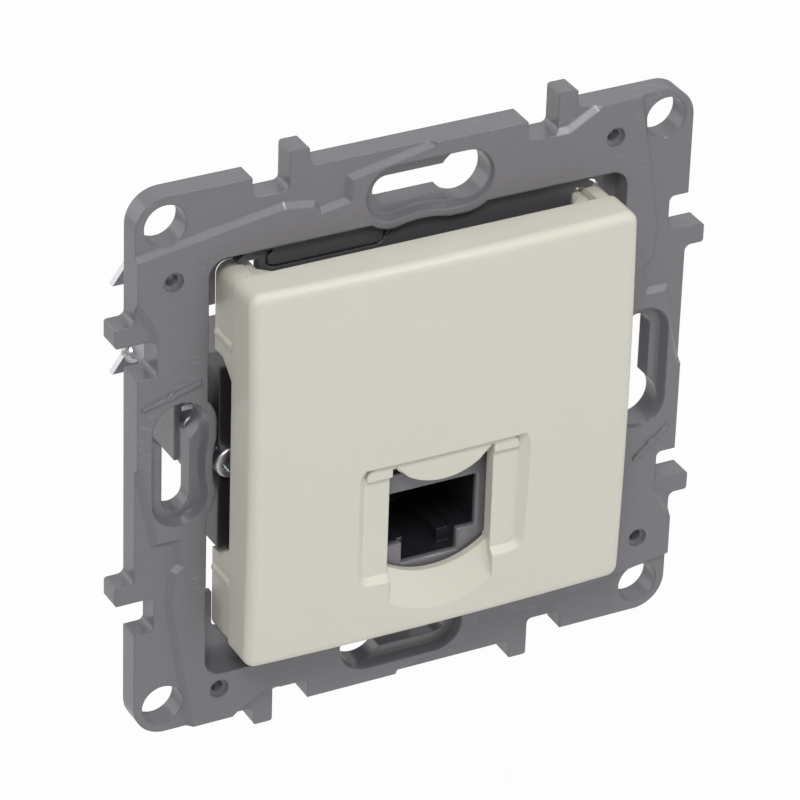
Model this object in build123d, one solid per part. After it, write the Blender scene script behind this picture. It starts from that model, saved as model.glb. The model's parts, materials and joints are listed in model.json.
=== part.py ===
# Flush-mounted ethernet wall socket: a square support frame with claw fixing, a clip-on crowned
# front cover with a sliding dust shutter, and a tool-less eight-contact jack behind it.
#
# Millimetres. X runs right, Y runs back into the wall, Z runs up. The origin is the centre of the
# frame's back face, which lies on the wall, so what is in front of the wall has a negative y.

from build123d import *
from math import atan, atan2, cos, degrees, pi, radians, sin, sqrt
import os

os.makedirs("parts", exist_ok=True)

# Support frame
GANG_PITCH = 71.0
GANG_GAP = 0.1
FRAME_HALF = (GANG_PITCH - GANG_GAP) / 2
FRAME_CORNER_R = 4.0
FRAME_LOW = 3.0
FRAME_HIGH = 3.7
FRAME_SLOPE_DEG = 45.0
OPENING_HALF = FRAME_HALF - 8.75
OPENING_TOP = OPENING_HALF - 0.2
OPENING_FOOT = -OPENING_HALF - 2.2
OPENING_CORNER_R = 2.2
LEDGE_THICK = 0.9
LEDGE_HOLE_HALF = OPENING_HALF - 2.1
LEDGE_HOLE_R = 1.4
LEDGE_CLAW_GAP = 19.2
CORNER_HOLE_AT = 31.78
CORNER_HOLE_R = 2.62
PILOT_HOLE_R = 0.75
PILOT_SINK_R = 1.2
PILOT_SINK_DEPTH = 0.6
PILOT_HOLE_AT = (-31.0, 24.8)

# Ganging tabs and the notches that take the next frame's tabs, along the top side
TAB_WIDTH = 2.43
TAB_REACH = 37.9
TAB_CORNER_R = 0.35
TAB_ROOT_R = 0.8
TAB_A_AT = -15.37
TAB_B_AT = 18.71
NOTCH_FLOOR = 32.95
NOTCH_A_WIDTH = 4.6
NOTCH_B_WIDTH = 4.3
NOTCH_FLOOR_R = 0.7

# Keyholes for the wall box screws
BOX_SCREW_PITCH = 60.0
SLOT_WIDTH = 3.5
SLOT_END_AT = -4.1
HEAD_HOLE_R = 3.15
HEAD_HOLE_AT = 5.7
SLOT_PLATE = 2.3
DISH_R = 3.1
DISH_SLOPE_DEG = 18.0
DISH_FROM = -3.7
DISH_TO = 5.5
FLANGE_R = 4.45
WAIST_R = 12.0
WAIST_WALL = 1.3

# Ribs on the frame's back beside the claws, and the raised pointer lines on its front
RIB_IN = OPENING_HALF + 1.05
RIB_THICK = 0.9
RIB_DEPTH = 7.5
RIB_Z = (-1.4, 6.5)
POINTER_LEFT = ((-34.9, 9.3), (-27.5, 11.2))
POINTER_RIGHT = ((29.7, -13.5), (34.3, -9.6))
POINTER_WIDTH = 0.5
POINTER_RISE = 0.25

# Relief of the frame's front, as corners of the low areas beside the top side
RELIEF_OUT = 4.0
RELIEF_A = [(-17.4, 31.7), (-13.4, 31.1), (-12.6, 30.1), (-9.7, 30.6), (-9.6, 33.4)]
RELIEF_A_START = 28.1
RELIEF_A_END = 0.8
RELIEF_B_ROOT = 33.5
RELIEF_B_TURN = 18.6
RELIEF_B_END = 22.0

# Carrier plate
CARRIER_HALF_X = OPENING_HALF - 3.7
CARRIER_HALF_Z = OPENING_TOP - 0.25
CARRIER_CORNER_R = 2.5
CARRIER_THICK = 1.75
PLATE_FIELD = (15.0, 2.6)
PLATE_FIELD_AT = (-11.7, 24.7)
PLATE_GROOVE = 0.2
SEAT_GAP = 0.05
CARRIER_BACK = -LEDGE_THICK - SEAT_GAP
CARRIER_FRONT = CARRIER_BACK - CARRIER_THICK

# Front cover
COVER_HALF = OPENING_HALF - 2.05
COVER_CORNER_R = 1.5
COVER_APEX = 11.6
COVER_CROWN_R = 500.0
COVER_EDGE_R = 1.2
COVER_BACK = -5.5
COVER_WALL = 1.4
COVER_CEILING = -9.9
POST_R = 0.9
POST_AT = (COVER_HALF - 3.65, COVER_HALF - 1.65)
POST_END = -0.6
CORNER_NOTCH = (POST_AT[0] - 1.05, COVER_HALF - 3.75, COVER_HALF + 0.2)
GUSSET_REACH = 3.2
GUSSET_START = 2.2
GUSSET_THICK = 0.9
SKIRT_WALL = 1.2
SKIRT_FROM = (COVER_HALF - 2.75, COVER_HALF - 3.35)
LEG_FROM_Z = 10.3
LEG_TO_Z = COVER_HALF - 2.65
LEG_INSET = 0.25
LEG_RIB_R = 0.6
LEG_RIB_Z = 15.7
LEG_SLANT = 2.9
LEG_BACK = -0.6

# Window in the cover and the dust shutter in it, shown pushed up, away from the jack
WINDOW_HALF = 10.0
WINDOW_TOP = -0.8
WINDOW_FOOT = -15.8
WINDOW_CORNER_R = 1.6
WINDOW_FLOOR = -10.45
WINDOW_BEVEL = 1.0
WINDOW_TOP_BEVEL = 0.15
MOUTH_HALF = 6.75
MOUTH_FOOT = -17.5
MOUTH_R = 11.1
TONGUE_R = 8.1
TONGUE_HALF = 6.25
TONGUE_FOOT = -4.5
TONGUE_TOP = -1.45
WING_SLIT = 0.35
SHUTTER_GAP = 0.12
SHUTTER_HALF = 6.55
SHUTTER_BACK = -9.9
SHUTTER_PLATE_FRONT = -10.5
SHUTTER_PAD_FRONT = -10.95
SHUTTER_TOP = 11.9
WING_FOOT = -2.65
SHUTTER_TRAVEL = 12.1
POCKET_TOP = 12.3
GUIDE_GAP = 0.05
GUIDE_THICK = 1.0
GUIDE_HALF = 12.6
GUIDE_TOP = 13.2
GUIDE_FOOT = -14.6
GUIDE_MOUTH_TOP = -2.4
DISH_SLOPE_TOP = -9.4
DISH_SLOPE_FOOT = -11.2
DISH_SLOPE_FOOT_Z = -22.0
DISH_CURVE_R = 26.5
DISH_BLOCK_FOOT = -22.6
DISH_BLOCK_TOP = -14.6
DISH_BACK = -8.55
DISH_LIP = 0.9

# Jack
JACK_MID_Z = -10.2
JACK_FACE = -8.2
PLUG_WIDTH = 11.8
PLUG_TOP = -6.9
PLUG_FOOT = -13.85
LATCH_FOOT = -16.6
LATCH_WIDTH = 7.2
LATCH_STEP = (1.3, 1.7, 2.6)
BEZEL_HALF = 8.3
BEZEL_TOP = -4.2
BEZEL_FOOT = -18.6
BEZEL_WALL = 1.0
BEZEL_FACE_WALL = 0.9
BEZEL_FLANGE = 1.1
BEZEL_FLANGE_THICK = 1.2
BEZEL_EDGE_R = 0.35
FIT_GAP = 0.1
INSERT_BACK = 9.0
PLUG_BACK = 4.6
CONTACT_COUNT = 8
CONTACT_PITCH = 1.02
CONTACT_R = 0.22
CONTACT_BEND_R = 0.7
CONTACT_TOP_Z = -6.15
CONTACT_BEND_Y = -3.2
CONTACT_TIP_Y = 3.4
CONTACT_TIP_Z = -9.6
CONTACT_CHANNEL = 0.62
COMB_THICK = 0.9
BOARD_THICK = 1.6
BOARD_HALF = 8.0
BOARD_TOP = -5.2
BOARD_FOOT = -17.8

# Wiring side of the jack
IDC_HALF = 8.0
IDC_DEPTH = 6.4
IDC_HEIGHT = 4.4
IDC_CHAMFER = 0.8
IDC_COUNT = 4
IDC_PITCH = 3.7
IDC_SLOT = 0.9
IDC_SLOT_DEPTH = 4.6
BLADE_THICK = 0.4
BLADE_WIDTH = 2.0
BLADE_SLIT = 0.35
BLADE_REACH = 4.6
CAP_WALL = 1.0
CAP_GAP = 0.3
CAP_TOP_GAP = 0.7
CAP_PIN_DROP = 1.1
CAP_PIN_SETBACK = 0.35
CAP_EAR_R = 1.15
CAP_LUG_R = 1.75
CAP_DEPTH = 8.2
CAP_LAP = 1.95
CAP_PIN_R = 0.9
CAP_PIN_GAP = 0.06
CAP_EAR_THICK = 1.5
CAP_OPEN_DEG = 100.0
CABLE_HOLE_R = 2.7
STUFFER_THICK = 0.6
LEVER_LENGTH = 3.0
LEVER_THICK = 1.1

# Rear housing
HOUSING_HALF_X = CARRIER_HALF_X - 0.3
HOUSING_HALF_Z = 9.4
HOUSING_WELL_Z = -20.6
HOUSING_WELL_HALF = 10.2
HOUSING_DEPTH = 13.4
HOUSING_WALL = 1.3

# Claws, their screws, barrel nuts and holders, as on the left side
CLAW_SCREW_X = OPENING_HALF - 2.8
CLAW_THICK = 1.0
CLAW_HALF_Z = 5.0
CLAW_PIVOT = (CLAW_SCREW_X - 4.0, 5.0)
CLAW_TIP_Y = 31.5
CLAW_TIP_X = CLAW_SCREW_X - 1.0
CLAW_TOOTH = 1.9
CLAW_TOOTH_RISE = 2.6
CLAW_TOOTH_FEET = (4.9, -7.2)
CLAW_DIMPLE_R = 1.3
CLAW_RUN_GAP = 0.25
CLAW_BAY_GAP = 0.5
CLAW_SLOT = (7.4, 15.5, 2.4)
TRUNNION_R = 0.75
TRUNNION_GAP = 0.05
TRUNNION_REACH = 6.4
CLAW_FOOT_REACH = CLAW_SCREW_X + 3.4
CLAW_FOOT_HALF_Z = 3.0
CLAW_OPEN_DEG = 22.0
SCREW_R = 1.7
SCREW_HEAD_R = 1.95
SCREW_HEAD_HEIGHT = 1.3
SCREW_HEAD_FRONT = -4.4
SCREW_END = 12.0
SCREW_POINT = 1.0
SCREW_RECESS_R = 0.95
SCREW_RECESS_DEPTH = 0.8
SCREW_LOBE_R = 0.34
SCREW_LOBES = 6
WAIST_AT = CLAW_SCREW_X + SCREW_HEAD_R + 0.2
NUT_R = 2.05
NUT_HALF_Z = 3.4
NUT_GAP = 0.05
FOOT_HOLE_R = 2.1
FOOT_SLOT = 0.75
HOLDER_IN = CLAW_SCREW_X - 3.0
HOLDER_OUT = CLAW_SCREW_X + 1.1
HOLDER_HALF_Z = 11.9
HOLDER_BACK = 0.9


def block(x, y, z):
    """A box from three (low, high) pairs."""
    size = [pair[1] - pair[0] for pair in (x, y, z)]
    middle = [(pair[0] + pair[1]) / 2 for pair in (x, y, z)]
    return Pos(*middle) * Box(*size)


def front_prism(sketch, y):
    """Extrude a sketch drawn as seen from the front, x right and z up, over y = (front, back)."""
    return extrude(Plane.XZ.offset(-y[1]) * sketch, amount=y[1] - y[0])


def side_prism(sketch, x):
    """Extrude a sketch drawn with x = depth and y = height over x = (low, high)."""
    return extrude(Plane.YZ.offset(x[0]) * sketch, amount=x[1] - x[0])


def top_prism(sketch, z):
    """Extrude a sketch drawn as seen from above, x right and y back, over z = (low, high)."""
    return extrude(Plane.XY.offset(z[0]) * sketch, amount=z[1] - z[0])


def rectangle(x, y):
    """A rectangle from two (low, high) pairs."""
    return Pos((x[0] + x[1]) / 2, (y[0] + y[1]) / 2) * Rectangle(x[1] - x[0], y[1] - y[0])


def polygon(points):
    """A face from its corner points, kept where they are drawn, always facing the same way."""
    pairs = zip(points, points[1:] + points[:1])
    turn = sum(a[0] * b[1] - b[0] * a[1] for a, b in pairs)
    ordered = points if turn > 0 else points[::-1]
    return Polygon(*ordered, align=None)


def y_cylinder(radius, y, x=0.0, z=0.0):
    """A cylinder along Y over y = (front, back)."""
    return front_prism(Pos(x, z) * Circle(radius), y)


def four_sides(sketch):
    """The sketch for the top side and its copies turned onto the other three sides."""
    result = Sketch() + sketch
    for turn in range(1, 4):
        result += Rot(0, 0, -90 * turn) * sketch
    return result


def mirrored(shape):
    """The same shape on the other side of the middle plane."""
    return mirror(shape, about=Plane.YZ)


def stadium(start, end, radius, height):
    """A slot shape between two centres on a level line."""
    bar = rectangle((start, end), (height - radius, height + radius))
    return bar + Pos(start, height) * Circle(radius) + Pos(end, height) * Circle(radius)


def finish(shape, name, colour):
    """Write one node."""
    shape.label = name
    shape.color = Color(*colour)
    export_step(shape, f"parts/{name}.step")


GREY = (0.49, 0.48, 0.50)
DARK_GREY = (0.33, 0.33, 0.35)
IVORY = (0.82, 0.81, 0.75)
BLACK = (0.05, 0.05, 0.06)
GOLD = (0.83, 0.66, 0.30)
STEEL = (0.68, 0.68, 0.70)
BOARD_GREEN = (0.10, 0.30, 0.18)
WHITE = (0.85, 0.85, 0.83)
BLUE = (0.24, 0.36, 0.55)

SLOT_RADIUS = SLOT_WIDTH / 2
SLOT_LEVEL = BOX_SCREW_PITCH / 2


def tab_sketch(middle):
    """One ganging tab with rounded outer corners and filleted roots."""
    left = middle - TAB_WIDTH / 2
    right = middle + TAB_WIDTH / 2
    tab = rectangle((left, right), (NOTCH_FLOOR - 1, TAB_REACH))
    tab = fillet(tab.vertices().sort_by(Axis.Y)[-2:], TAB_CORNER_R)
    root = rectangle((right, right + TAB_ROOT_R), (FRAME_HALF, FRAME_HALF + TAB_ROOT_R))
    root -= Pos(right + TAB_ROOT_R, FRAME_HALF + TAB_ROOT_R) * Circle(TAB_ROOT_R)
    return tab + root


def notch_sketch(tab_middle, width):
    """The notch on the left of a tab, open at the top, with a rounded floor."""
    right = tab_middle - TAB_WIDTH / 2
    notch = rectangle((right - width, right), (NOTCH_FLOOR, TAB_REACH))
    return fillet(notch.vertices().sort_by(Axis.Y)[:2], NOTCH_FLOOR_R)


def waisted(sketch, wall=0.0):
    """Draw the side of a dish towards the middle in round the claw screw's head."""
    return sketch - Pos(0, WAIST_AT - WAIST_R) * Circle(WAIST_R + wall)


def flange_sketch(clearance=0.0):
    """The raised rim round a keyhole's dish, which reaches into the frame's opening."""
    return waisted(stadium(DISH_FROM, DISH_TO, FLANGE_R + clearance, SLOT_LEVEL))


def keyhole_sketch():
    slot = stadium(SLOT_END_AT, HEAD_HOLE_AT, SLOT_RADIUS, SLOT_LEVEL)
    return slot + Pos(HEAD_HOLE_AT, SLOT_LEVEL) * Circle(HEAD_HOLE_R)


def relief_sketches():
    """The low areas of the frame's front beside the top side."""
    out = FRAME_HALF + RELIEF_OUT
    sweep = [(-out, RELIEF_A_START), *RELIEF_A, (RELIEF_A_END, FRAME_HALF), (RELIEF_A_END, out)]
    long_area = polygon([*sweep, (-out, out)])
    root = TAB_B_AT - TAB_WIDTH / 2
    reach = RELIEF_B_END + (out - FRAME_HALF)
    short_area = polygon([
        (root, RELIEF_B_ROOT),
        (RELIEF_B_TURN, RELIEF_B_ROOT),
        (RELIEF_B_END, FRAME_HALF),
        (reach, out),
        (root, out),
    ])
    return long_area, short_area


def dish_sketch():
    """The floor of the dish round a keyhole."""
    return waisted(stadium(DISH_FROM, DISH_TO, DISH_R, SLOT_LEVEL), WAIST_WALL)


def widening(sketch, level, slope):
    """A cut from a level of the frame up through its front, wider towards the front."""
    return extrude(Plane.XZ.offset(level) * sketch, amount=FRAME_HIGH - level + 0.5, taper=-slope)


def support_frame():
    plate = RectangleRounded(2 * FRAME_HALF, 2 * FRAME_HALF, FRAME_CORNER_R)
    flange = flange_sketch()
    ring = plate - opening_sketch()
    ring += four_sides(flange)
    notches = notch_sketch(TAB_A_AT, NOTCH_A_WIDTH) + notch_sketch(TAB_B_AT, NOTCH_B_WIDTH)
    tabs = tab_sketch(TAB_A_AT) + tab_sketch(TAB_B_AT)
    body = front_prism(ring - four_sides(notches), (-FRAME_HIGH, 0))
    steps = [widening(area, FRAME_LOW, FRAME_SLOPE_DEG) for area in relief_sketches()]
    steps.append(widening(dish_sketch(), SLOT_PLATE, DISH_SLOPE_DEG))
    for step in steps:
        for turn in range(4):
            body -= Rot(0, 90 * turn, 0) * step
    body += front_prism(four_sides(tabs) - four_sides(notches), (-FRAME_LOW, 0))
    corner_hole = Pos(CORNER_HOLE_AT, CORNER_HOLE_AT) * Circle(CORNER_HOLE_R)
    pilot = Pos(*PILOT_HOLE_AT) * Circle(PILOT_HOLE_R)
    body -= front_prism(four_sides(corner_hole + pilot), (-FRAME_HIGH - 1, 1))
    sink = Pos(*PILOT_HOLE_AT) * Circle(PILOT_SINK_R)
    body -= front_prism(four_sides(sink), (-FRAME_HIGH - 1, -FRAME_HIGH + PILOT_SINK_DEPTH))
    for ends in (POINTER_LEFT, POINTER_RIGHT):
        body += front_prism(pointer_sketch(*ends), (-FRAME_HIGH - POINTER_RISE, -FRAME_HIGH + 0.1))
    rib = block((-RIB_IN - RIB_THICK, -RIB_IN), (-0.1, RIB_DEPTH), RIB_Z)
    body += rib + Rot(0, 180, 0) * rib
    body += opening_ledge()
    return body - front_prism(four_sides(keyhole_sketch()), (-FRAME_HIGH - 1, 1))


def pointer_sketch(start, end):
    """A fine raised line with a bead in its middle."""
    run = (end[0] - start[0], end[1] - start[1])
    middle = ((start[0] + end[0]) / 2, (start[1] + end[1]) / 2)
    length = sqrt(run[0] ** 2 + run[1] ** 2)
    line = Rot(0, 0, degrees(atan2(run[1], run[0]))) * SlotOverall(length, POINTER_WIDTH)
    return Pos(*middle) * (line + Circle(POINTER_WIDTH))


def opening_sketch(grow=0.0):
    width = 2 * (OPENING_HALF + grow)
    height = OPENING_TOP - OPENING_FOOT + 2 * grow
    outline = RectangleRounded(width, height, OPENING_CORNER_R + grow)
    return Pos(0, (OPENING_TOP + OPENING_FOOT) / 2) * outline


def opening_ledge():
    """The thin ledge round the opening that the carrier plate rests on, open beside the claws."""
    hole = 2 * LEDGE_HOLE_HALF
    ledge = opening_sketch(0.3) - RectangleRounded(hole, hole, LEDGE_HOLE_R)
    ledge -= rectangle((-40, 40), (-LEDGE_CLAW_GAP, LEDGE_CLAW_GAP))
    return front_prism(ledge, (-LEDGE_THICK, 0))


def mouth_sketch(half, foot, radius, top):
    """An upright opening whose foot is an arc, lowest in the middle."""
    rise = radius - sqrt(radius**2 - half**2)
    outline = rectangle((-half, half), (foot + rise, top))
    bowl = rectangle((-half, half), (foot, foot + rise + 0.01))
    return outline + (bowl & (Pos(0, foot + radius) * Circle(radius)))


def window_solid():
    """The shallow recess in the cover's front, with sloped sides, that the shutter runs in."""
    floor = rectangle((-WINDOW_HALF, WINDOW_HALF), (WINDOW_FOOT, WINDOW_TOP))
    floor = fillet(floor.vertices().sort_by(Axis.Y)[-2:], WINDOW_CORNER_R)
    floor = fillet(floor.vertices().sort_by(Axis.Y)[:2], WINDOW_CORNER_R / 2)
    rise = WINDOW_FLOOR + COVER_APEX + 0.5
    slope = WINDOW_BEVEL / (WINDOW_FLOOR + COVER_APEX - 0.2)
    cut = extrude(
        Plane.XZ.offset(-WINDOW_FLOOR) * floor, amount=rise, taper=-degrees(atan(slope))
    )
    limit = WINDOW_TOP + WINDOW_TOP_BEVEL
    return cut & block((-30, 30), (-30, 0), (-30, limit))


def finger_dish():
    """The hollow below the jack, part of a cylinder that leans forward until it meets the front."""
    run = MOUTH_FOOT - DISH_SLOPE_FOOT_Z
    lean = degrees(atan2(DISH_SLOPE_TOP - DISH_SLOPE_FOOT, run))
    middle = ((DISH_SLOPE_TOP + DISH_SLOPE_FOOT) / 2, (MOUTH_FOOT + DISH_SLOPE_FOOT_Z) / 2)
    bar = Pos(0, -DISH_CURVE_R, 0) * Cylinder(DISH_CURVE_R, 40)
    bar = Pos(0, middle[0], middle[1]) * Rot(-lean, 0, 0) * bar
    return bar & block((-MOUTH_HALF, MOUTH_HALF), (-30, 0), (DISH_BLOCK_FOOT - 4, DISH_BLOCK_TOP + 4))


def front_cover():
    outline = RectangleRounded(2 * COVER_HALF, 2 * COVER_HALF, COVER_CORNER_R)
    body = front_prism(outline, (-COVER_APEX - 2, COVER_BACK))
    body &= Pos(0, COVER_CROWN_R - COVER_APEX, 0) * Sphere(COVER_CROWN_R)
    rim = [e for e in body.edges() if e.center().Y < COVER_BACK - 2 and e.bounding_box().size.Y < 1.5]
    body = fillet(rim, COVER_EDGE_R)
    inside = COVER_HALF - COVER_WALL
    body -= block((-inside, inside), (COVER_CEILING, 0), (-inside, inside))
    body += block(
        (-MOUTH_HALF - DISH_LIP, MOUTH_HALF + DISH_LIP),
        (COVER_CEILING - 0.2, DISH_BACK),
        (DISH_BLOCK_FOOT, DISH_BLOCK_TOP),
    )
    body -= window_solid()
    mouth = mouth_sketch(MOUTH_HALF, MOUTH_FOOT, MOUTH_R, WINDOW_TOP + 0.02)
    body -= front_prism(mouth, (-COVER_APEX - 1, 0))
    body -= finger_dish()
    pocket = SHUTTER_HALF + SHUTTER_GAP
    body -= block((-pocket, pocket), (SHUTTER_PLATE_FRONT - 0.05, 0), (WINDOW_TOP - 0.5, POCKET_TOP))
    body += cover_posts() + cover_legs()
    return body


def cover_posts():
    """Four locating posts, each with a triangular web, and the skirts round the cover's corners."""
    end = POST_END
    x, z = POST_AT
    corner = y_cylinder(POST_R, (COVER_CEILING - 0.2, end), x, z)
    web = polygon([
        (x, end - GUSSET_START),
        (x - GUSSET_REACH, COVER_BACK),
        (x - GUSSET_REACH, COVER_BACK - 0.8),
        (x, COVER_BACK - 0.8),
    ])
    corner += top_prism(web, (z, z + GUSSET_THICK))
    side = COVER_HALF - LEG_INSET
    shell = RectangleRounded(2 * side, 2 * side, COVER_CORNER_R)
    inner = side - SKIRT_WALL
    shell -= RectangleRounded(2 * inner, 2 * inner, COVER_CORNER_R - SKIRT_WALL)
    shell &= rectangle((SKIRT_FROM[0], 30), (SKIRT_FROM[1], 30))
    corner += front_prism(shell, (COVER_BACK - 1, end))
    upper = corner + mirrored(corner)
    return upper + mirror(upper, about=Plane.XY)


def cover_legs():
    """Side legs that reach back beside the carrier plate, each with a small snap rib."""
    outer = COVER_HALF - LEG_INSET
    foot = LEG_BACK
    leg = polygon([
        (COVER_BACK - 0.5, LEG_FROM_Z),
        (CARRIER_FRONT, LEG_FROM_Z + LEG_SLANT),
        (foot, LEG_FROM_Z + LEG_SLANT),
        (foot, LEG_TO_Z),
        (COVER_BACK - 0.5, LEG_TO_Z),
    ])
    inner = CARRIER_HALF_X + SEAT_GAP
    leg = side_prism(leg, (inner, outer))
    leg += y_cylinder(LEG_RIB_R, (COVER_BACK + 0.2, foot - 0.4), outer - 0.25, LEG_RIB_Z)
    side = leg + mirror(leg, about=Plane.XY)
    return side + mirrored(side)


def shutter_guide():
    """The plate behind the cover that closes the shutter's pocket and backs its tracks."""
    front = SHUTTER_BACK + GUIDE_GAP
    outline = rectangle((-GUIDE_HALF, GUIDE_HALF), (GUIDE_FOOT + FIT_GAP, GUIDE_TOP))
    outline -= rectangle((-MOUTH_HALF, MOUTH_HALF), (GUIDE_FOOT - 1, GUIDE_MOUTH_TOP))
    return front_prism(outline, (front, front + GUIDE_THICK))


def dust_shutter():
    """A slide with two wings and a round tongue, here at its open, upper end."""
    top = WINDOW_TOP - SHUTTER_GAP
    reach = WINDOW_HALF - SHUTTER_GAP
    plate = rectangle((-SHUTTER_HALF, SHUTTER_HALF), (TONGUE_TOP, SHUTTER_TOP))
    arc = Pos(0, TONGUE_FOOT + TONGUE_R) * Circle(TONGUE_R)
    tongue = rectangle((-TONGUE_HALF, TONGUE_HALF), (TONGUE_FOOT, TONGUE_TOP + 0.01)) & arc
    body = front_prism(plate + tongue, (SHUTTER_PLATE_FRONT, SHUTTER_BACK))
    band = rectangle((-reach, reach), (WING_FOOT, top))
    band = fillet(band.vertices().sort_by(Axis.Y)[-2:], WINDOW_CORNER_R - SHUTTER_GAP)
    slit = TONGUE_HALF + WING_SLIT
    band -= rectangle((-slit, slit), (WING_FOOT - 1, TONGUE_TOP))
    return body + front_prism(band + tongue, (SHUTTER_PAD_FRONT, SHUTTER_PLATE_FRONT))


def bezel_hole(clearance=0.0):
    """The jack's passage through the plates behind the cover."""
    half = BEZEL_HALF + clearance
    return rectangle((-half, half), (BEZEL_FOOT - clearance, BEZEL_TOP + clearance))


def carrier_plate():
    outline = RectangleRounded(2 * CARRIER_HALF_X, 2 * CARRIER_HALF_Z, CARRIER_CORNER_R)
    outline -= bezel_hole(FIT_GAP)
    for turn in (0, 180):
        outline -= Rot(0, 0, turn) * flange_sketch(FIT_GAP)
    bite = rectangle(
        (HOLDER_IN - FIT_GAP, CARRIER_HALF_X + 1),
        (-HOLDER_HALF_Z - FIT_GAP, HOLDER_HALF_Z + FIT_GAP),
    )
    outline -= bite + mirror(bite, about=Plane.YZ)
    notch = rectangle((CORNER_NOTCH[0], 40), (CORNER_NOTCH[1], CORNER_NOTCH[2]))
    notch += mirror(notch, about=Plane.XZ)
    outline -= notch + mirror(notch, about=Plane.YZ)
    body = front_prism(outline, (CARRIER_FRONT, CARRIER_BACK))
    field = RectangleRounded(*PLATE_FIELD, 1.0)
    groove = Pos(*PLATE_FIELD_AT) * (field - offset(field, -PLATE_GROOVE))
    return body - front_prism(groove, (CARRIER_FRONT - 1, CARRIER_FRONT + PLATE_GROOVE))


def plug_sketch(latch_width, grow=0.0):
    """The plug's body and, below it, its latch."""
    half = PLUG_WIDTH / 2 + grow
    body = rectangle((-half, half), (PLUG_FOOT - grow, PLUG_TOP + grow))
    half = latch_width / 2 + grow
    return body + rectangle((-half, half), (LATCH_FOOT - grow, PLUG_FOOT))


def jack_bezel():
    """The grey front sleeve of the jack, with a flange behind the carrier plate."""
    body = front_prism(bezel_hole(), (JACK_FACE, CARRIER_BACK + BEZEL_FLANGE_THICK))
    flange = bezel_hole(BEZEL_FLANGE)
    body += front_prism(flange, (CARRIER_BACK + SEAT_GAP, CARRIER_BACK + BEZEL_FLANGE_THICK))
    cavity = bezel_hole(-BEZEL_WALL)
    body -= front_prism(cavity, (JACK_FACE + BEZEL_FACE_WALL, CARRIER_BACK + 2))
    body -= front_prism(plug_sketch(LATCH_WIDTH), (JACK_FACE - 1, 0))
    near = JACK_FACE + 0.01
    rim = [e for e in body.edges() if e.bounding_box().max.Y < near and is_inside_face(e.center())]
    return fillet(rim, BEZEL_EDGE_R)


def is_inside_face(point):
    """Whether a point on the bezel's face lies on the plug's opening, not on its outline."""
    inside = abs(point.X) < BEZEL_HALF - 0.5
    return inside and BEZEL_FOOT + 0.5 < point.Z < BEZEL_TOP - 0.5


def contact_x(index):
    return (index - (CONTACT_COUNT - 1) / 2) * CONTACT_PITCH


def jack_insert():
    """The black core of the jack with the plug's cavity and a channel for each contact."""
    body = front_prism(bezel_hole(-BEZEL_WALL - FIT_GAP), (JACK_FACE + BEZEL_FACE_WALL, INSERT_BACK))
    body -= front_prism(plug_sketch(LATCH_WIDTH, 0.12), (JACK_FACE, PLUG_BACK))
    width, height, setback = LATCH_STEP
    outer = LATCH_WIDTH / 2 + 0.3
    foot = LATCH_FOOT - 0.3
    for side in (-1, 1):
        x = sorted((side * (outer - 0.3 - width), side * outer))
        body += block(x, (JACK_FACE + setback, PLUG_BACK), (foot, LATCH_FOOT + height))
    floor = CONTACT_TOP_Z + CONTACT_R + 0.18
    half = CONTACT_CHANNEL / 2
    for index in range(CONTACT_COUNT):
        x = contact_x(index)
        body -= block(
            (x - half, x + half),
            (CONTACT_BEND_Y - CONTACT_BEND_R - 0.6, INSERT_BACK + 1),
            (PLUG_TOP - 0.3, floor),
        )
    return body


def contact_wire(index):
    """One spring wire: from the board forward above the plug, round a bend and back down."""
    x = contact_x(index)
    turn = CONTACT_BEND_R
    board = INSERT_BACK + FIT_GAP - 0.02
    line = FilletPolyline(
        (x, board, CONTACT_TOP_Z),
        (x, CONTACT_BEND_Y - turn, CONTACT_TOP_Z),
        (x, CONTACT_BEND_Y - turn + 0.3, CONTACT_TOP_Z - 1.5),
        (x, CONTACT_TIP_Y, CONTACT_TIP_Z),
        radius=turn * 0.7,
    )
    start = Plane(origin=line @ 0, z_dir=line % 0)
    return sweep(start * Circle(CONTACT_R), path=line)


def contact_comb():
    """A comb behind the plug's cavity that keeps the wires' tips apart."""
    half = PLUG_WIDTH / 2 - FIT_GAP
    top = PLUG_TOP - FIT_GAP
    foot = CONTACT_TIP_Z - 1.4
    y = (PLUG_BACK - COMB_THICK - SEAT_GAP, PLUG_BACK - SEAT_GAP)
    body = block((-half, half), y, (foot, top))
    tooth_y = (y[0] - 1.1, y[0] + 0.1)
    for index in range(CONTACT_COUNT + 1):
        x = contact_x(index) - CONTACT_PITCH / 2
        body += block((x - 0.15, x + 0.15), tooth_y, (foot, CONTACT_TIP_Z + 1.2))
    return body


def circuit_board():
    y = board_span()
    body = block((-BOARD_HALF, BOARD_HALF), y, (BOARD_FOOT, BOARD_TOP))
    return body


def board_span():
    front = INSERT_BACK + FIT_GAP
    return (front, front + BOARD_THICK)


def idc_rows():
    """Height of the wiring block on each side of the board, as (low, high)."""
    upper = (BOARD_TOP - IDC_HEIGHT, BOARD_TOP)
    lower = (BOARD_FOOT, BOARD_FOOT + IDC_HEIGHT)
    return {"upper": upper, "lower": lower}


def idc_x(index):
    return (index - (IDC_COUNT - 1) / 2) * IDC_PITCH


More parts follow.
